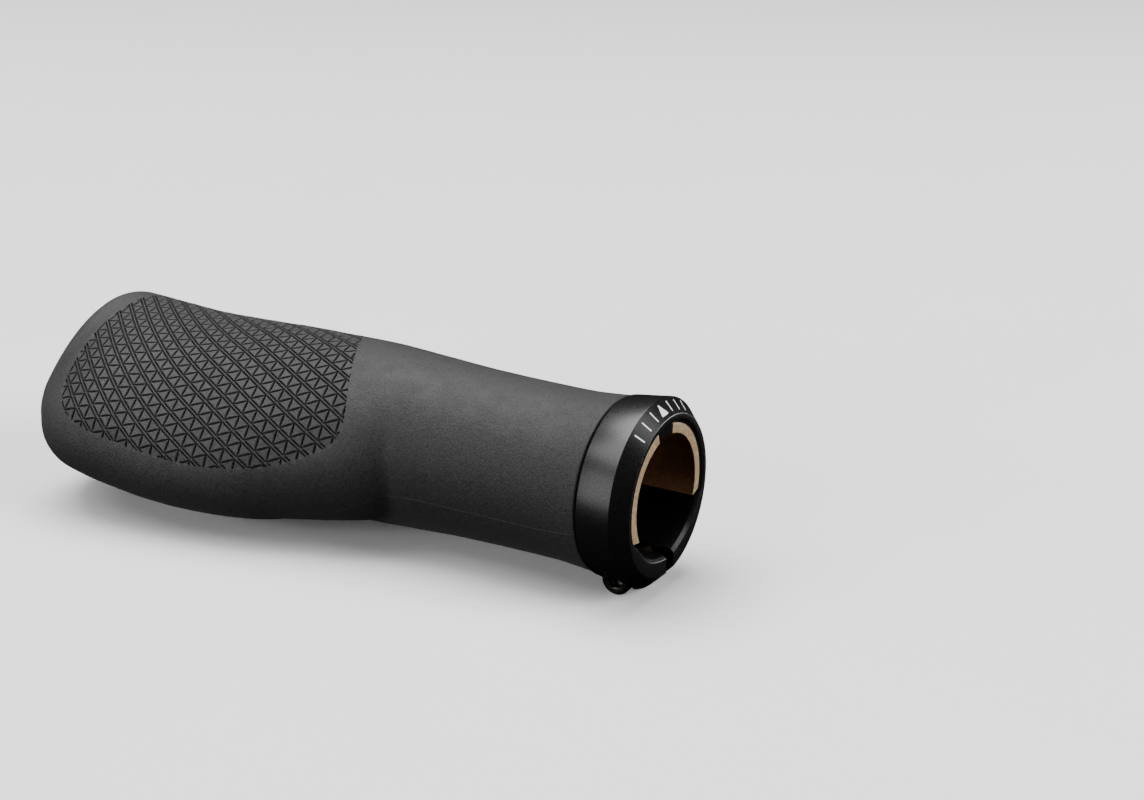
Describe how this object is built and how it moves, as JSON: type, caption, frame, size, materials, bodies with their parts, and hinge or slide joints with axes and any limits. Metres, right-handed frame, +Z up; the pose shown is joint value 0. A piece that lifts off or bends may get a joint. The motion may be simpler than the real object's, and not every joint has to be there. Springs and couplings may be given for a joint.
{
  "type": "handlebar grip",
  "caption": "Left-hand ergonomic handlebar grip: soft sleeve with a textured palm wing over a hard core, with a slotted clamp collar, socket screw and end plug.",
  "frame": {"origin": "on the bar's axis at the outboard end face", "axes": "+X along the bar from the outboard end towards the clamp collar, -Y towards the rider with the palm wing, +Z up"},
  "size_m": [0.1316, 0.0524, 0.0364],
  "materials": {
    "rubber": "matt, finely grained",
    "core": "satin, speckled with fibres",
    "collar": "black anodised, satin",
    "screw": "black oxide",
    "plug": "matt"
  },
  "bodies": {
    "root": {"rubber_sleeve": "rubber", "end_plug": "plug", "core_tube": "core", "clamp_collar": "collar", "clamp_screw": "screw"}
  },
  "joints": []
}
